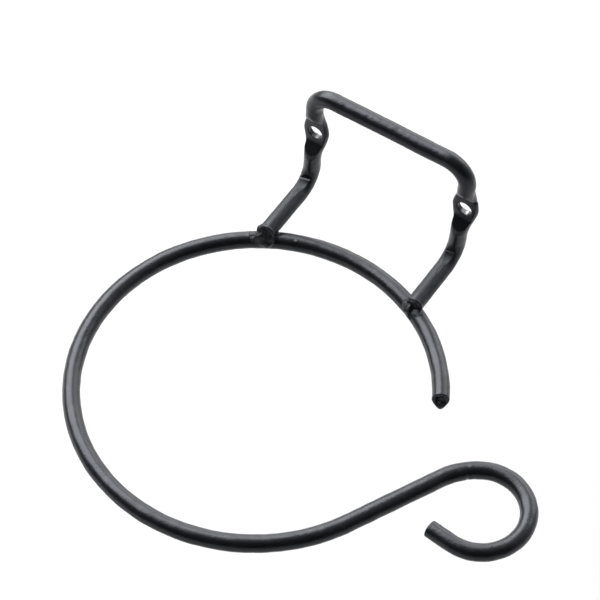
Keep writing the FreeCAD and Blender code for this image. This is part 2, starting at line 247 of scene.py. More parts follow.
def bracket_moves():
    """The runs between the corners, shortened by the bends that round them."""
    corners = bracket_corners()
    ways = [unit(b - a) for a, b in zip(corners, corners[1:])]
    lengths = [np.linalg.norm(b - a) for a, b in zip(corners, corners[1:])]
    turns = [math.acos(np.clip(a @ b, -1, 1)) for a, b in zip(ways, ways[1:])]
    cuts = [0.0] + [BEND_RADIUS * math.tan(turn / 2) for turn in turns] + [0.0]
    moves = []
    for index, length in enumerate(lengths):
        moves.append((length - cuts[index] - cuts[index + 1],))
        if index < len(turns):
            axis = unit(np.cross(ways[index], ways[index + 1]))
            moves.append((BEND_RADIUS, axis, turns[index]))
    return moves


# ---------------------------------------------------------------- meshes


def make_object(name, points, faces, material, slot, *nodes):
    """A smooth-shaded mesh object from points in millimetres, riding on the one body."""
    mesh = bpy.data.meshes.new(name)
    mesh.from_pydata((points * MM).tolist(), [], faces)
    mesh.validate()
    mesh.shade_smooth()
    piece = bpy.data.objects.new(name, mesh)
    bpy.context.scene.collection.objects.link(piece)
    mesh.materials.append(material)
    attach(piece, "root")
    if nodes:
        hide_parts(*nodes)
    return piece


def skin(grid, start_cap, end_cap):
    """Points and faces of a tube: a grid of rows round it, closed by rings that shrink to a point."""
    rows = [*start_cap[1:][::-1], *grid, *end_cap[1:]]
    round_count = grid.shape[1]
    points = [start_cap[0], *rows, end_cap[0]]
    faces = []
    turn = np.arange(round_count)
    after = (turn + 1) % round_count
    for row in range(len(rows) - 1):
        low, high = 1 + row * round_count, 1 + (row + 1) * round_count
        faces += np.stack([low + turn, low + after, high + after, high + turn], 1).tolist()
    last = 1 + (len(rows) - 1) * round_count
    tip = last + round_count
    faces += [[0, 1 + b, 1 + a] for a, b in zip(turn, after)]
    faces += [[tip, last + a, last + b] for a, b in zip(turn, after)]
    return np.concatenate([np.atleast_2d(part) for part in points]), faces


def cap(middle, rim, outward, stand, rings=14):
    """A closing face inside a rim. stand gives how far a point at (share of radius, row) stands out."""
    made = [middle + outward * stand(0.0, middle[None])[0]]
    for share in np.linspace(0, 1, rings + 1)[1:-1]:
        row = middle + (rim - middle) * share
        made.append(row + outward * stand(share, row)[:, None])
    return made


def first_crossing(outside, centres, ways, reach, steps=26):
    """Distance along each ray to where the shape ends, by halving."""
    low, high = np.zeros(ways.shape[:-1]), np.full(ways.shape[:-1], float(reach))
    for _ in range(steps):
        middle = (low + high) / 2
        out = outside(centres + ways * middle[..., None]) > 0
        high = np.where(out, middle, high)
        low = np.where(out, low, middle)
    return (low + high) / 2


# ---------------------------------------------------------------- ring bar

RING_ROUND = 72
RIM, FREE_END_RIM = 0.35, 0.30
NIB_LENGTH, NIB_SPREAD = 1.3, math.radians(36)
SHEAR_TILT, SHEAR_HOLLOW, SHEAR_FADE = 0.25, 0.8, 2.4


def rim_loss(distance, rim):
    """How much a bar shrinks near its end, as a quarter round."""
    short = np.clip(rim - distance, 0, rim)
    return rim - np.sqrt(np.maximum(rim ** 2 - short ** 2, 0))


def around_from(angles, angle):
    """Each angle measured from one of them, from minus to plus half a turn."""
    return (angles - angle + math.pi) % (2 * math.pi) - math.pi


def tool_marks(stations, angles, marks):
    """Shallow dents that the bending tool leaves. A mark is (place, width, angle, spread, depth)."""
    total = np.zeros((len(stations), len(angles)))
    for place, width, angle, spread, depth in marks:
        away = around_from(angles, angle)
        along = np.exp(-(((stations - place) / width) ** 2))
        total += depth * along[:, None] * np.exp(-((away / spread) ** 2))[None]
    return total


def ring_marks():
    """Dents where the bends start and end, on the side that the tool held, and a few round the ring."""
    moves = ring_moves()
    run_start, lead_start, curl_start, tail_start = (path_length(moves[:count]) for count in (1, 2, 3, 4))
    inner, top, outer, low = 0.0, 0.5 * math.pi, math.pi, 1.5 * math.pi
    return [
        (curl_start - 4.0, 0.5, outer, 1.1, 0.20), (curl_start - 1.8, 0.9, outer, 0.9, 0.12),
        (curl_start - 3.6, 0.35, top, 0.9, 0.05), (lead_start, 2.5, outer, 0.8, 0.07),
        (tail_start - 1.0, 1.8, outer, 0.7, 0.09), (run_start, 3.0, inner, 0.7, 0.08),
        (33.0, 0.45, inner, 0.5, 0.16), (34.6, 1.6, inner + 0.5, 0.6, 0.07),
        (24.5, 0.8, low, 0.5, 0.08), (60.0, 1.4, inner, 0.5, 0.06), (118.0, 2.4, inner, 0.6, 0.06),
        (171.0, 2.0, inner, 0.6, 0.06), (226.0, 2.6, inner, 0.6, 0.06),
    ]


def make_ring(paint):
    """The open ring, its straight run and the reverse curl: sheared at the ring's end, sawn at the tail's."""
    moves = ring_moves()
    length = path_length(moves)
    around = np.array([math.cos(FREE_END_ANGLE), math.sin(FREE_END_ANGLE), 0.0])
    heading = np.cross(Z, around)
    curl_start = path_length(moves[:3])
    zones = [(0, 3, 0.12), (length - 3, length, 0.12), (30, 38, 0.2),
             (curl_start - 7, curl_start + 2, 0.2)]
    stations = spaced(length, 0.5, zones)
    places, headings, sides = walk(RING_CENTRE + around * RING, heading, -around, moves, stations)
    ups = np.cross(headings, sides)
    angles = np.arange(RING_ROUND) * 2 * math.pi / RING_ROUND
    ways = sides[:, None] * np.cos(angles)[None, :, None] + ups[:, None] * np.sin(angles)[None, :, None]
    centres = places[:, None]
    surface = centres + ways * BAR
    reach = BAR + FILM + 0.022 * lumps(surface, 9.0, 11) + 0.012 * lumps(surface, 3.2, 12)
    reach -= tool_marks(stations, angles, ring_marks())
    reach -= rim_loss(stations, FREE_END_RIM)[:, None] + rim_loss(length - stations, RIM)[:, None]
    grid = centres + ways * reach[..., None]

    below = around_from(angles, -math.pi / 2)
    nib = NIB_LENGTH * np.exp(-((below / NIB_SPREAD) ** 2)) - SHEAR_TILT * np.sin(angles)
    fade = 1 - smooth_step(0, SHEAR_FADE, stations)
    grid -= headings[:, None] * (nib[None] * fade[:, None])[..., None]

    def sheared(share, row):
        """The sheared face follows the nib near its rim and is torn and a little hollow inside."""
        reach_out = nib * share ** 3 if len(row) == RING_ROUND else np.zeros(len(row))
        return reach_out - SHEAR_HOLLOW * (1 - share ** 3) + 0.09 * lumps(row, 1.1, 21)

    def sawn(share, row):
        return 0.05 * (1 - share ** 2) + 0.02 * lumps(row, 0.8, 22)

    start = cap(places[0], grid[0] + headings[0] * nib[:, None], -headings[0], sheared)
    end = cap(places[-1], grid[-1], headings[-1], sawn)
    points, faces = skin(grid, start, end)
    make_object("ring_and_curl", points, faces, paint, "black_paint", "ring_bar")


# ---------------------------------------------------------------- mounting bar

BRACKET_ROUND = 96
EYE_REACH = 12
EYE_WIDE = 4.2
EYE_TOP_REACH, EYE_TOP_POWER = 12.6, 1.56
EYE_LOW_REACH, EYE_LOW_POWER = 15.4, 1.37
PRESS_ABOVE, PRESS_BELOW = 4.8, 4.3
PRESS_TOP, PRESS_BOTTOM = 9.2, 8.1
FLARE_RISE, FLARE_BLEND = 0.35, 0.9
# Distance from the press's ramps, as a share of the distance measured straight out from the wall.
RAMP_SHARE = 0.79
LIP_HEIGHT, LIP_WIDTH = 0.14, 0.55
CREASE_HEIGHT, CREASE_SLANT = 4.9, 0.10
CREASE_DEPTH, CREASE_WIDTH = 0.36, 0.42
BURR_HEIGHT, BURR_PLACE, BURR_WIDTH = 0.08, 0.45, 0.30
SCORE_DEPTH, SCORE_WIDTH = 0.55, 0.42
NOTCH = {
    # out from the wall, depth, run-out along the foot, slant across it
    "left": {"out": 5.52, "depth": 0.66, "fade": 4.6, "tilt": -0.13},
    "right": {"out": 5.22, "depth": 0.60, "fade": 4.4, "tilt": -0.07},
}
NOTCH_FROM, NOTCH_TO = 5.1, 12.5
NOTCH_BLEND = 0.03
COPE_FROM, COPE_GAP, COPE_BLEND = 14, 0.03, 0.05
FINE_ENDS, FINE_NOTCH, FINE_EYE = 0.12, 0.08, 0.11


def eye_half_width(height):
    """Half the width of the metal squeezed sideways, by height from the screw hole."""
    up = 1 - (np.clip(height - 0.3, 0, None) / EYE_TOP_REACH) ** EYE_TOP_POWER
    down = 1 - (np.clip(0.3 - height, 0, None) / EYE_LOW_REACH) ** EYE_LOW_POWER
    return EYE_WIDE * np.clip(np.minimum(up, down), 0.1, 1)


def press_floor(height):
    """How far the metal still stands out from the wall under the press."""
    rise = 2 * BAR - EYE_THICKNESS
    up = (height - PRESS_ABOVE) * rise / (PRESS_TOP - PRESS_ABOVE)
    down = (-height - PRESS_BELOW) * rise / (PRESS_BOTTOM - PRESS_BELOW)
    return EYE_THICKNESS + np.maximum(np.maximum(up, down), 0)


def slab(across, out, half_width, thickness):
    """A flat bar with round edges, lying against the wall plane."""
    edge = np.minimum(0.47 * thickness, half_width * 0.9)
    side = np.abs(across) - half_width + edge
    face = np.abs(out - thickness / 2) - thickness / 2 + edge
    outer = np.hypot(np.maximum(side, 0), np.maximum(face, 0))
    return outer + np.minimum(np.maximum(side, face), 0) - edge


def crease(height, across):
    """The groove that the press's corner leaves on the outer side of the right eye."""
    line = height - CREASE_HEIGHT + CREASE_SLANT * (across - 3.0)
    return CREASE_DEPTH * np.exp(-((line / CREASE_WIDTH) ** 2)) * smooth_step(0.6, 2.4, across)


def eye_shape(points, bar, side):
    """The upright where it is pressed flat round its screw hole."""
    local = points - hole_centre(side)
    height = local @ upright_way(side)
    across = local @ np.cross(Y, upright_way(side))
    out = -local[..., 1]
    floor = press_floor(height)
    thickness = np.minimum(floor, EYE_THICKNESS + FLARE_RISE * (floor - EYE_THICKNESS))
    flare = slab(across, out, eye_half_width(height), thickness)
    near = np.abs(height) < EYE_REACH
    shape = np.where(near, smooth_min(bar, flare, FLARE_BLEND), bar)
    slope = (2 * BAR - EYE_THICKNESS) / (PRESS_TOP - PRESS_ABOVE)
    from_ramp = (height - PRESS_ABOVE) * slope - (out - EYE_THICKNESS)
    lip = LIP_HEIGHT * np.exp(-((from_ramp / slope / LIP_WIDTH) ** 2)) * (out > EYE_THICKNESS)
    shape = shape - np.where(near & (height > 0), lip, 0)
    if side == "right":
        shape = shape + np.where(near, crease(height, across), 0)
    steep = np.where(floor > EYE_THICKNESS + 1e-6, RAMP_SHARE, 1.0)
    # The press left a crisp edge round the flat, and a softer one further up and down the ramps.
    soft = 0.14 + 0.7 * smooth_step(4.9, 6.2, height) + smooth_step(5.6, 8.6, -height)
    return np.where(near, smooth_max(shape, (out - floor) * steep, soft), shape)


def notch_shape(points, side):
    """The mark of the bending tool's edge across the inside of the foot's bend: a step and a score."""
    mark = NOTCH[side]
    local = points - on_upright(side, FOOT_Z)
    out = -points[..., 1]
    height = local[..., 2]
    inner = BEND_RADIUS - BAR
    back = np.clip(BAR + BEND_RADIUS - out, 0, inner * 0.999)
    surface = BEND_RADIUS - np.sqrt(inner ** 2 - back ** 2)
    along = out - mark["out"] - mark["tilt"] * local[..., 0]
    depth = mark["depth"] * (1 - np.clip(along / mark["fade"], 0, 1))
    depth = depth + SCORE_DEPTH * np.exp(-((along / SCORE_WIDTH) ** 2))
    depth = depth * smooth_step(-0.10, 0.03, along)
    return height - (surface - depth)


def bracket_shape(points, bar):
    """Distance from the painted mounting bar: the plain bar, changed by each tool that worked it."""
    shape = bar
    out = -points[..., 1]
    for side in SIGN:
        this_side = SIGN[side] * points[..., 0] > 0
        eye = np.abs((points - hole_centre(side)) @ upright_way(side)) < EYE_REACH
        shape = np.where(eye & this_side & (out < 6), eye_shape(points, bar, side), shape)
        bend = (points[..., 2] < FOOT_Z + BEND_RADIUS) & (out > NOTCH_FROM) & (out < NOTCH_TO)
        shape = np.where(bend & this_side, smooth_max(shape, notch_shape(points, side), NOTCH_BLEND), shape)
    on_ring = (out > COPE_FROM) & (points[..., 2] < FOOT_Z + BAR + 1)
    return np.where(on_ring, smooth_max(shape, -ring_distance(points) - COPE_GAP, COPE_BLEND), shape)


def section_centres(places):
    """Where each section's rays start: on the axis, or nearer the wall where the bar is pressed flat."""
    centres = places.copy()
    on_wall = np.abs(places[:, 1] + BAR) < 0.01
    for side in SIGN:
        height = (places - hole_centre(side)) @ upright_way(side)
        on_leg = (np.abs(height) < EYE_REACH) & (SIGN[side] * places[:, 0] > 0) & on_wall
        middle = np.minimum(press_floor(height), 2 * BAR) / 2
        centres[on_leg, 1] = -middle[on_leg]
    return centres


def bracket_zones(moves):
    """Where the mounting bar's sections are closer together: its ends, its bends to the feet and its eyes."""
    length = path_length(moves)
    feet = {"left": path_length(moves[:2]), "right": length - path_length(moves[-2:])}
    zones = [
        (0, 2, FINE_ENDS), (length - 2, length, FINE_ENDS), (2, 6, 0.25), (length - 6, length - 2, 0.25),
        (path_length(moves[:1]) - 3, feet["left"], FINE_NOTCH),
        (feet["right"], length - path_length(moves[-1:]) + 3, FINE_NOTCH),
    ]
    for side, foot in feet.items():
        lean = math.cos(LEAN[side])
        hole = foot - SIGN[side] * (-FOOT_Z - BEND_RADIUS * lean) / lean
        zones.append((hole - 10.5, hole + 10.5, FINE_EYE))
    return zones


def make_bracket(paint):
    """The mounting bar: crossbar, uprights with pressed eyes, and feet that sit on the ring."""
    moves = bracket_moves()
    length = path_length(moves)
    stations = spaced(length, 0.45, bracket_zones(moves))
    places, headings, sides = walk(foot_end("left"), Y, np.cross(Y, upright_way("left")), moves, stations)
    others = np.cross(headings, sides)
    centres = section_centres(places)
    pressed = np.abs(centres[:, 1] - places[:, 1]) > 1e-6
    flat = np.where(pressed, -centres[:, 1], BAR)
    spread = (EYE_WIDE - BAR) * (BAR - flat) / (BAR - EYE_THICKNESS / 2)
    wide = np.where(pressed, np.clip(BAR + spread, BAR, EYE_WIDE), BAR)
    angles = np.arange(BRACKET_ROUND) * 2 * math.pi / BRACKET_ROUND
    ways = unit(
        sides[:, None] * (wide[:, None] * np.cos(angles))[..., None]
        + others[:, None] * (flat[:, None] * np.sin(angles))[..., None]
    )

    def outside(points):
        local = points - places[:, None]
        ahead = headings[:, None] * (local * headings[:, None]).sum(-1)[..., None]
        return bracket_shape(points, np.linalg.norm(local - ahead, axis=-1) - BAR - FILM)

    reach = first_crossing(outside, centres[:, None], ways, 6.5)
    surface = centres[:, None] + ways * reach[..., None]
    reach = reach + 0.020 * lumps(surface, 8.0, 31) + 0.012 * lumps(surface, 2.6, 32)
    from_end = np.minimum(stations, length - stations)
    burr = BURR_HEIGHT * np.exp(-(((from_end - BURR_PLACE) / BURR_WIDTH) ** 2))
    reach += (burr - rim_loss(from_end, RIM))[:, None]
    grid = centres[:, None] + ways * reach[..., None]

    def cut(share, row):
        return 0.04 * lumps(row, 1.0, 41) - 0.05 * (1 - share)

    start = cap(places[0], grid[0], -headings[0], cut)
    end = cap(places[-1], grid[-1], headings[-1], cut)
    points, faces = skin(grid, start, end)
    piece = make_object("wall_bracket", points, faces, paint, "black_paint", "mounting_bar")
    for side in SIGN:
        drill(piece, side)


HOLE_EASE = 0.32
DRILL_PAST = 0.8
DRILL_ROUND = 96


def drill(piece, side):
    """Cuts one screw hole with a tool that eases both of its rims."""
    turns = np.linspace(0, math.pi / 2, 7)
    eased = [(HOLE_EASE - HOLE_EASE * math.cos(t), HOLE + HOLE_EASE - HOLE_EASE * math.sin(t)) for t in turns]
    wide = HOLE + HOLE_EASE + 0.25
    profile = [(-DRILL_PAST, wide), *eased]
    profile += [(EYE_THICKNESS - depth, radius) for depth, radius in reversed(eased)]
    profile.append((EYE_THICKNESS + DRILL_PAST, wide))
    around = np.arange(DRILL_ROUND) * 2 * math.pi / DRILL_ROUND
    circle = X * np.cos(around)[:, None] + Z * np.sin(around)[:, None]
    rows = [hole_centre(side) - Y * out + radius * circle for out, radius in profile]
    start = [hole_centre(side) - Y * profile[0][0]]
    end = [hole_centre(side) - Y * profile[-1][0]]
    points, faces = skin(np.array(rows), start, end)
    mesh = bpy.data.meshes.new("drill_" + side)
    mesh.from_pydata((points * MM).tolist(), [], faces)
    tool = bpy.data.objects.new("drill_" + side, mesh)
    bpy.context.scene.collection.objects.link(tool)
    cut = piece.modifiers.new("hole_" + side, "BOOLEAN")
    cut.operation = "DIFFERENCE"
    cut.solver = "EXACT"
    cut.object = tool
    graph = bpy.context.evaluated_depsgraph_get()
    drilled = bpy.data.meshes.new_from_object(piece.evaluated_get(graph))
    piece.modifiers.clear()
    piece.data = drilled
    bpy.data.objects.remove(tool)
    bpy.data.meshes.remove(mesh)


# ---------------------------------------------------------------- welds

WELD = {
    "left": {
        "seed": 51, "fillet": 1.3, "reach": 5.6,
        # the steep front of the bead: a point (out, up) from the foot's end, and its way (out, up)
        "front": (0.45, 1.9), "front_way": (0.87, 0.49),
        # runs of bead, from the foot's end: two places as (along the ring, out, up), then a radius
        "beads": [
            ((-1.6, 0.2, -1.0), (-1.0, 1.1, -2.6), 1.55), ((1.2, 0.2, -1.2), (0.8, 1.0, -2.7), 1.4),
            ((0.2, 1.2, -2.6), (0.5, 1.5, -3.7), 1.0), ((-1.1, -0.9, 0.5), (1.0, -0.9, 0.3), 1.45),
            ((-4.6, -0.5, -2.9), (-2.8, 0.1, -2.2), 1.5), ((2.2, -0.6, -2.8), (3.4, -0.6, -3.4), 1.2),
        ],
    },
    "right": {
        "seed": 52, "fillet": 1.1, "reach": 5.4,
        "front": (1.5, -0.5), "front_way": (0.42, 0.91),
        "beads": [
            ((-2.0, 1.0, -1.3), (-1.0, 1.5, -1.7), 1.35), ((-2.6, 0.2, -2.6), (-1.0, 0.4, -2.4), 1.4),
            ((1.6, -0.2, -2.8), (2.8, -0.3, -3.2), 1.25), ((-0.6, 1.0, -3.4), (0.6, 1.0, -3.4), 1.2),
        ],
    },
}
BEAD_BLEND = 0.9
FRONT_BLEND, REACH_BLEND = 0.7, 0.3
# The bead runs this far into both bars, so that no gap shows.
WELD_INSET = 0.06
SPATTER = [
    # along the ring from the left foot, angle up from the room side, radius
    (9.0, math.radians(66), 0.42), (-3.6, math.radians(62), 0.6),
]


def make_weld(side, metal):
    """Weld metal run into the corner between a foot and the ring, lumpy where it cooled."""
    weld, seed = WELD[side], WELD[side]["seed"]
    end = foot_end(side)
    ring_way = np.cross(Z, unit((end - RING_CENTRE) * [1, 1, 0]))
    ring_way = ring_way if ring_way[0] > 0 else -ring_way
    room_way = np.cross(ring_way, Z)
    room_way = room_way if room_way[1] < 0 else -room_way
    axes = np.array([ring_way, room_way, Z])
    foot_start = end + Y * 0.2
    centre = end + Y * 0.9 - Z * 1.6

    def outside(points):
        local = points - foot_start
        foot = np.maximum(np.hypot(local[..., 0], local[..., 2]) - BAR + WELD_INSET, -local[..., 1])
        ring = ring_distance(points) + WELD_INSET
        shape = smooth_min(foot, ring, weld["fillet"])
        for first, second, radius in weld["beads"]:
            first, second = (end + np.array(place) @ axes for place in (first, second))
            run = second - first
            share = np.clip((points - first) @ run / (run @ run), 0, 1)
            run_distance = np.linalg.norm(points - first - share[..., None] * run, axis=-1) - radius
            shape = smooth_min(shape, run_distance, BEAD_BLEND)
        out, up = weld["front"]
        way_out, way_up = weld["front_way"]
        face = (points - end - room_way * out - Z * up) @ (room_way * way_out + Z * way_up)
        shape = smooth_max(shape, face, FRONT_BLEND)
        proud = smooth_step(-0.1, 0.5, np.minimum(foot, ring))
        rough = 0.09 * lumps(points, 2.1, seed) + 0.025 * lumps(points, 0.9, seed + 10)
        shape = shape + rough * proud
        return smooth_max(shape, np.linalg.norm(points - centre, axis=-1) - weld["reach"], REACH_BLEND)

    reach = first_crossing(outside, centre, WELD_WAYS, 8.0)
    points = centre + WELD_WAYS * reach[:, None]
    make_object(side + "_weld_bead", points, WELD_FACES, metal, "painted_weld", "weld_" + side)


def sphere_mesh(cuts):
    """Unit vectors and faces of a finely divided icosphere."""
    work = bmesh.new()
    bmesh.ops.create_icosphere(work, subdivisions=cuts, radius=1.0)
    ways = unit(np.array([v.co[:] for v in work.verts]))
    faces = [[v.index for v in face.verts] for face in work.faces]
    work.free()
    return ways, faces


WELD_WAYS, WELD_FACES = sphere_mesh(6)
DROP_WAYS, DROP_FACES = sphere_mesh(4)


def make_spatter(metal):
    """Drops of weld metal stuck to the ring."""
    end = foot_end("left")
    start = math.atan2(end[1] - RING_CENTRE[1], end[0] - RING_CENTRE[0])
    points, faces = [], []
    for index, (along, up, radius) in enumerate(SPATTER):
        around = start - along / RING
        outward = np.array([math.cos(around), math.sin(around), 0.0])
        normal = -outward * math.cos(up) + Z * math.sin(up)
        middle = RING_CENTRE + outward * RING + normal * (BAR + 0.25 * radius)
        size = radius * (1 + 0.06 * lumps(DROP_WAYS * 3 + index, 3.0, 61))
        faces += [[v + len(DROP_WAYS) * index for v in face] for face in DROP_FACES]
        points.append(middle + DROP_WAYS * size[:, None])
    make_object("weld_spatter", np.concatenate(points), faces, metal, "painted_weld")


# ---------------------------------------------------------------- materials

# Dull paint where the welding heat reached: its middle from each foot's end, and how it fades.
HEAT_PLACE = np.array([0.0, 11.0, 2.0])
HEAT_NEAR, HEAT_FAR, HEAT_DULLING = 6.0, 13.5, 0.20
COOL_GLOSS = (0.91, 0.93, 1.0, 1.0)

PAINT_FILM = [
    (0.30, (0.0037, 0.0041, 0.0056)), (0.52, (0.0057, 0.0062, 0.0082)), (0.72, (0.0088, 0.0095, 0.0118)),
]
PAINT_CLOUD = (0.0076, 0.0080, 0.0100, 1)
WORN_EDGE = (0.018, 0.0185, 0.020, 1)
DUST = (0.05, 0.051, 0.054, 1)
BARE_METAL = (0.30, 0.305, 0.315, 1)
BUMP_STRENGTH, BUMP_HEIGHT = 0.9, 0.00013

# Painted shade on the floor, which the bars reflect: darkest close in front of the holder, less dark behind
# it, and pale from PAPER_FAR outwards (metres).
PAPER_FRONT, PAPER_BACK = -0.38, -0.02
PAPER_NEAR, PAPER_FAR = 0.36, 0.95
PAINTED_SHADE_FRONT, PAINTED_SHADE_BACK, PAPER_PALE = 0.31, 0.60, 0.88


def nodes_of(material):
    material.use_nodes = True
    tree = material.node_tree
    tree.nodes.clear()
    return tree


def add(tree, kind, inputs=None, **settings):
    """A node with its settings and its inputs, which are values or other nodes' outputs."""
    node = tree.nodes.new(kind)
    for key, value in settings.items():
        setattr(node, key, value)
    for key, value in (inputs or {}).items():
        if isinstance(value, bpy.types.NodeSocket):
            tree.links.new(value, node.inputs[key])
        else:
            node.inputs[key].default_value = value
    return node


def ramp(tree, source, stops):
    """A colour ramp. Stops are (position, grey or colour)."""
    node = add(tree, "ShaderNodeValToRGB", {"Fac": source})
    elements = node.color_ramp.elements
    while len(elements) < len(stops):
        elements.new(0.5)
    for element, (position, colour) in zip(elements, stops):
        element.position = position
        colour = (colour,) * 3 if isinstance(colour, (int, float)) else colour
        element.color = (*colour, 1)
    return node.outputs["Color"]


def noise(tree, where, scale, detail=3.0, roughness=0.55):
    node = add(tree, "ShaderNodeTexNoise", {
        "Vector": where, "Scale": scale, "Detail": detail, "Roughness": roughness,
    })
    return node.outputs["Fac"]


def bare_metal_mask(tree, where, grit, everywhere):
    """How bare the metal is: the lower walls of the screw holes have lost patches of paint."""
    height = add(tree, "ShaderNodeSeparateXYZ", {"Vector": where}).outputs["Z"]
    low = add(tree, "ShaderNodeMapRange", {
        "Value": height, "From Min": -0.96 * HOLE * MM, "From Max": -0.76 * HOLE * MM,
        "To Min": 1.0, "To Max": 0.03,
    }).outputs["Result"]
    flat = add(tree, "ShaderNodeVectorMath", {0: where, 1: (1.0, 0.0, 1.0)}, operation="MULTIPLY")
    mask = everywhere
    for side in SIGN:
        away = add(tree, "ShaderNodeVectorMath", {
            0: flat.outputs["Vector"], 1: hole_centre(side) * MM,
        }, operation="DISTANCE")
        inside = add(tree, "ShaderNodeMapRange", {
            "Value": away.outputs["Value"], "From Min": (HOLE + 0.04) * MM, "From Max": (HOLE + 0.18) * MM,
            "To Min": 0.9, "To Max": 0.0,
        })
        worn = add(tree, "ShaderNodeMath", {0: inside.outputs["Result"], 1: low}, operation="MULTIPLY")
        mask = add(tree, "ShaderNodeMath", {0: worn.outputs[0], 1: mask}, operation="MAXIMUM").outputs[0]
    patchy = ramp(tree, grit, [(0.40, 0.15), (0.58, 1.0)])
    return add(tree, "ShaderNodeMath", {0: mask, 1: patchy}, operation="MULTIPLY").outputs[0]


def make_paint(name, grain, roughness_low, roughness_high, bare=0.0):
    """Satin black paint on iron: uneven film, fine orange peel, dust nibs, thin worn edges.

    grain is the height of its relief, and bare is how much of the metal shows everywhere.
    """
    material = bpy.data.materials.new(name)
    tree = nodes_of(material)
    where = add(tree, "ShaderNodeTexCoord").outputs["Object"]
    film = noise(tree, where, 160, 4)
    cloud = noise(tree, where, 45, 2)
    peel = noise(tree, where, 1500, 2, 0.5)
    scale = noise(tree, where, 420, 5, 0.62)
    dust = add(tree, "ShaderNodeTexVoronoi", {"Vector": where, "Scale": 420.0, "Randomness": 1.0})
    pick = add(tree, "ShaderNodeSeparateColor", {"Color": dust.outputs["Color"]})
    near = ramp(tree, dust.outputs["Distance"], [(0.0, 1.0), (0.10, 0.0)])
    chosen = ramp(tree, pick.outputs["Red"], [(0.90, 0.0), (0.93, 1.0)])
    nib = add(tree, "ShaderNodeMath", {0: near, 1: chosen}, operation="MULTIPLY").outputs[0]
    base = ramp(tree, film, PAINT_FILM)
    tint = add(tree, "ShaderNodeMix", {
        "Factor": ramp(tree, cloud, [(0.35, 0.0), (0.70, 0.55)]), "A": base, "B": PAINT_CLOUD,
    }, data_type="RGBA")
    point = add(tree, "ShaderNodeNewGeometry").outputs["Pointiness"]
    edge = ramp(tree, point, [(0.525, 0.0), (0.60, 1.0)])
    worn = add(tree, "ShaderNodeMath", {0: edge, 1: scale}, operation="MULTIPLY").outputs[0]
    rubbed = add(tree, "ShaderNodeMix", {
        "Factor": worn, "A": tint.outputs["Result"], "B": WORN_EDGE,
    }, data_type="RGBA")
    speckled = add(tree, "ShaderNodeMix", {
        "Factor": nib, "A": rubbed.outputs["Result"], "B": DUST,
    }, data_type="RGBA")
    gloss = add(tree, "ShaderNodeMapRange", {
        "Value": scale, "From Min": 0.3, "From Max": 0.7, "To Min": roughness_low, "To Max": roughness_high,
    }).outputs["Result"]
    for side in SIGN:
        heated = (foot_end(side) + HEAT_PLACE) * MM
        away = add(tree, "ShaderNodeVectorMath", {0: where, 1: heated}, operation="DISTANCE")
        dull = add(tree, "ShaderNodeMapRange", {
            "Value": away.outputs["Value"], "From Min": HEAT_NEAR * MM, "From Max": HEAT_FAR * MM,
            "To Min": HEAT_DULLING, "To Max": 0.0,
        }, interpolation_type="SMOOTHSTEP")
        gloss = add(tree, "ShaderNodeMath", {0: gloss, 1: dull.outputs["Result"]}, operation="ADD").outputs[0]
    relief = add(tree, "ShaderNodeMath", {0: scale, 1: 0.6 * grain}, operation="MULTIPLY").outputs[0]
    relief = add(tree, "ShaderNodeMath", {0: peel, 1: 0.35 * grain, 2: relief}, operation="MULTIPLY_ADD")
    relief = add(tree, "ShaderNodeMath", {0: nib, 1: 0.5, 2: relief.outputs[0]}, operation="MULTIPLY_ADD")
    bump = add(tree, "ShaderNodeBump", {
        "Height": relief.outputs[0], "Strength": BUMP_STRENGTH, "Distance": BUMP_HEIGHT,
    })
    bare_share = bare_metal_mask(tree, where, scale, bare)
    bared = add(tree, "ShaderNodeMix", {
        "Factor": bare_share, "A": speckled.outputs["Result"], "B": BARE_METAL,
    }, data_type="RGBA")
    shader = add(tree, "ShaderNodeBsdfPrincipled", {
        "Base Color": bared.outputs["Result"], "Metallic": bare_share, "Roughness": gloss,
        "Specular IOR Level": 0.5, "Specular Tint": COOL_GLOSS, "Normal": bump.outputs["Normal"],
    })
    output = add(tree, "ShaderNodeOutputMaterial")
    tree.links.new(shader.outputs["BSDF"], output.inputs["Surface"])
    return material


def make_floor_paper():
    """Matt paper that the bars reflect: painted shade near the holder, darkest in front of it, and pale
    further out.
    """
    material = bpy.data.materials.new("studio_paper")
    tree = nodes_of(material)
    where = add(tree, "ShaderNodeTexCoord").outputs["Object"]
    mottle = ramp(tree, noise(tree, where, 6, 2), [(0.3, 0.97), (0.7, 1.0)])
    # Painted shade near the holder: the paper is darkened, most in front of it, so that the bars reflect a
    # dim floor there.
    depth = add(tree, "ShaderNodeSeparateXYZ", {"Vector": where}).outputs["Y"]
    grade = add(tree, "ShaderNodeMapRange", {
        "Value": depth, "From Min": PAPER_FRONT, "From Max": PAPER_BACK,
        "To Min": PAINTED_SHADE_FRONT, "To Max": PAINTED_SHADE_BACK,
    }, interpolation_type="SMOOTHSTEP")
    away = add(tree, "ShaderNodeVectorMath", {0: where}, operation="LENGTH").outputs["Value"]
    pale = add(tree, "ShaderNodeMapRange", {
        "Value": away, "From Min": PAPER_NEAR, "From Max": PAPER_FAR,
    }, interpolation_type="SMOOTHSTEP").outputs["Result"]
    close = add(tree, "ShaderNodeMath", {0: 1.0, 1: pale}, operation="SUBTRACT").outputs[0]
    near_tone = add(tree, "ShaderNodeMath", {0: close, 1: grade.outputs["Result"]}, operation="MULTIPLY")
    graded = add(tree, "ShaderNodeMath", {
        0: pale, 1: PAPER_PALE, 2: near_tone.outputs[0],
    }, operation="MULTIPLY_ADD")
    tone = add(tree, "ShaderNodeMix", {
        "Factor": 1.0, "A": mottle, "B": graded.outputs[0],
    }, data_type="RGBA", blend_type="MULTIPLY")
    shader = add(tree, "ShaderNodeBsdfPrincipled", {
        "Base Color": tone.outputs["Result"], "Roughness": 0.9,
    })
    output = add(tree, "ShaderNodeOutputMaterial")
    tree.links.new(shader.outputs["BSDF"], output.inputs["Surface"])
    return material


# ---------------------------------------------------------------- studio

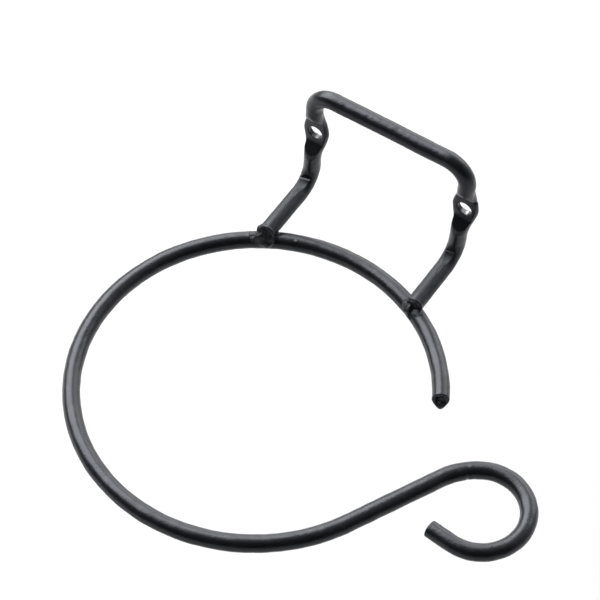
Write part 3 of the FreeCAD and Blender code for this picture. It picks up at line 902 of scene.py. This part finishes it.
# In metres, apart from the camera's places, which are in millimetres as the holder's are.
FLOOR_Z = -0.30
FLOOR_HALF = 30.0
BACK_OF_ROOM = (-0.25, 0.97, 0.0)
ROOM_FRONT, ROOM_REAR = -0.45, 0.75
ROOM_DIM, ROOM_PALE = 0.05, 0.95
LIGHT_DISTANCE = 1.5
SOFT_BOXES = [
    # name, compass angle from +X towards +Y, height angle, width, depth, brightness
    ("key_box", 166, 47, 1.55, 1.45, 6.2),
    ("back_box", 98, 24, 2.3, 1.25, 2.6),
]
CAMERA_PLACE = Vector((282.4, -481.3, 691.5))
CAMERA_TARGET = Vector((-5.96, -39.2, -25.2))
CAMERA_ROLL = math.radians(0.34)
CAMERA_LENS, CAMERA_SENSOR = 184.1, 36.0


def make_floor():
    mesh = bpy.data.meshes.new("studio_floor")
    corners = [(a * FLOOR_HALF, b * FLOOR_HALF, FLOOR_Z) for a, b in ((-1, -1), (1, -1), (1, 1), (-1, 1))]
    mesh.from_pydata(corners, [], [(0, 1, 2, 3)])
    floor = bpy.data.objects.new("studio_floor", mesh)
    bpy.context.scene.collection.objects.link(floor)
    mesh.materials.append(make_floor_paper())


def make_soft_box(name, compass, height, width, depth, radiance):
    """A soft box of a given brightness that faces the middle of the holder."""
    compass, height = math.radians(compass), math.radians(height)
    level = math.cos(height)
    way = Vector((math.cos(compass) * level, math.sin(compass) * level, math.sin(height)))
    data = bpy.data.lights.new(name, "AREA")
    data.shape = "RECTANGLE"
    data.size, data.size_y = width, depth
    data.energy = radiance * math.pi * width * depth
    light = bpy.data.objects.new(name, data)
    middle = (CAD_BOX[0] + CAD_BOX[1]) / 2
    light.location = middle + way * LIGHT_DISTANCE
    light.rotation_euler = way.to_track_quat("Z", "Y").to_euler()
    bpy.context.scene.collection.objects.link(light)


def make_world():
    """A dim room in front of the holder and to its right, and a pale one elsewhere."""
    world = bpy.data.worlds.new("studio")
    bpy.context.scene.world = world
    world.use_nodes = True
    tree = world.node_tree
    tree.nodes.clear()
    way = add(tree, "ShaderNodeTexCoord").outputs["Generated"]
    towards_back = add(tree, "ShaderNodeVectorMath", {0: way, 1: BACK_OF_ROOM}, operation="DOT_PRODUCT")
    share = add(tree, "ShaderNodeMapRange", {
        "Value": towards_back.outputs["Value"], "From Min": ROOM_FRONT, "From Max": ROOM_REAR,
        "To Min": ROOM_DIM, "To Max": ROOM_PALE,
    }, interpolation_type="SMOOTHSTEP")
    back = add(tree, "ShaderNodeBackground", {"Strength": share.outputs["Result"]})
    output = add(tree, "ShaderNodeOutputWorld")
    tree.links.new(back.outputs["Background"], output.inputs["Surface"])


def make_camera():
    """The viewing angle: in front, above and to the right, with a long lens."""
    place, target = CAMERA_PLACE * MM, CAMERA_TARGET * MM
    data = bpy.data.cameras.new("camera")
    data.lens = CAMERA_LENS
    data.sensor_width = CAMERA_SENSOR
    data.clip_end = 100
    camera = bpy.data.objects.new("camera", data)
    aim = (target - place).to_track_quat("-Z", "Y").to_matrix()
    roll = Matrix.Rotation(CAMERA_ROLL, 3, "Z")
    camera.matrix_world = Matrix.Translation(place) @ (aim @ roll).to_4x4()
    bpy.context.scene.collection.objects.link(camera)
    bpy.context.scene.camera = camera


def make_studio():
    make_floor()
    make_world()
    for box in SOFT_BOXES:
        make_soft_box(*box)
    make_camera()
    bpy.context.scene.view_settings.view_transform = "Standard"


# ---------------------------------------------------------------- build


def main():
    paint = make_paint("black_paint", grain=1.0, roughness_low=0.26, roughness_high=0.36)
    metal = make_paint("painted_weld", grain=1.6, roughness_low=0.40, roughness_high=0.56)
    make_ring(paint)
    make_bracket(paint)
    for side in WELD:
        make_weld(side, metal)
    make_spatter(make_paint(
        "spatter_metal", grain=0.4, roughness_low=0.18, roughness_high=0.26, bare=0.75,
    ))
    make_studio()


main()
